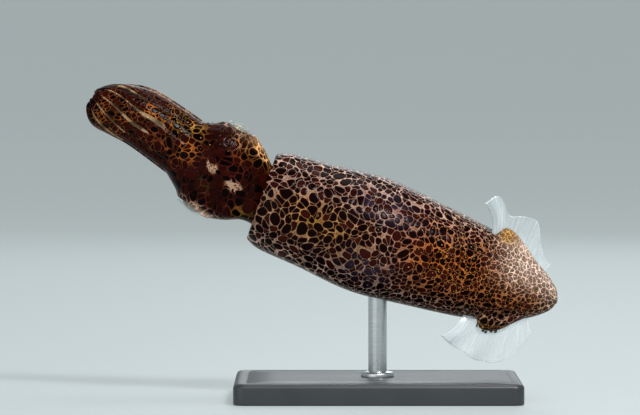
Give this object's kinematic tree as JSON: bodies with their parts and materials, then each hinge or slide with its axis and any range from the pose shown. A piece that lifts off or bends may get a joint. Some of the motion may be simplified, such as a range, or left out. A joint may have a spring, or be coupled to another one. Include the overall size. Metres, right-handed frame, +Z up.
{
  "type": "pygmy squid model",
  "caption": "Life-size still model of a pygmy squid, banked with its back to the viewer, on a plain display stand with a flat base and a short rod.",
  "frame": {"origin": "middle of the object's box, on the underside of the stand's base", "axes": "+Z up; the animal lies along X with its head towards -X and its tail towards +X, and its back faces -Y"},
  "size_m": [0.033, 0.014, 0.022],
  "materials": {
    "mantle_skin": "moist, smooth skin, packed with dark maroon pigment cells between pale and orange lines",
    "head_skin": "moist, smooth skin, dark maroon with blurred red-brown cells and pale flecks",
    "arm_skin": "moist, smooth skin, dark on the outer faces and pale tan between the arms",
    "fin_membrane": "thin clear membrane, faintly whitish, over a pigmented root",
    "eye": "glossy, silvery round a dark pupil",
    "stand_rod": "brushed",
    "stand_base": "satin black"
  },
  "bodies": {
    "root": {"mantle": "mantle_skin", "head": "head_skin", "funnel": "head_skin", "eye_left": "eye", "eye_right": "eye", "fin_left": "fin_membrane", "fin_right": "fin_membrane", "arm_left_1": "arm_skin", "arm_left_2": "arm_skin", "arm_left_3": "arm_skin", "arm_left_4": "arm_skin", "arm_right_1": "arm_skin", "arm_right_2": "arm_skin", "arm_right_3": "arm_skin", "arm_right_4": "arm_skin", "tentacle_left": "arm_skin", "tentacle_right": "arm_skin", "stand_base": "stand_base", "stand_rod": "stand_rod"}
  },
  "joints": []
}
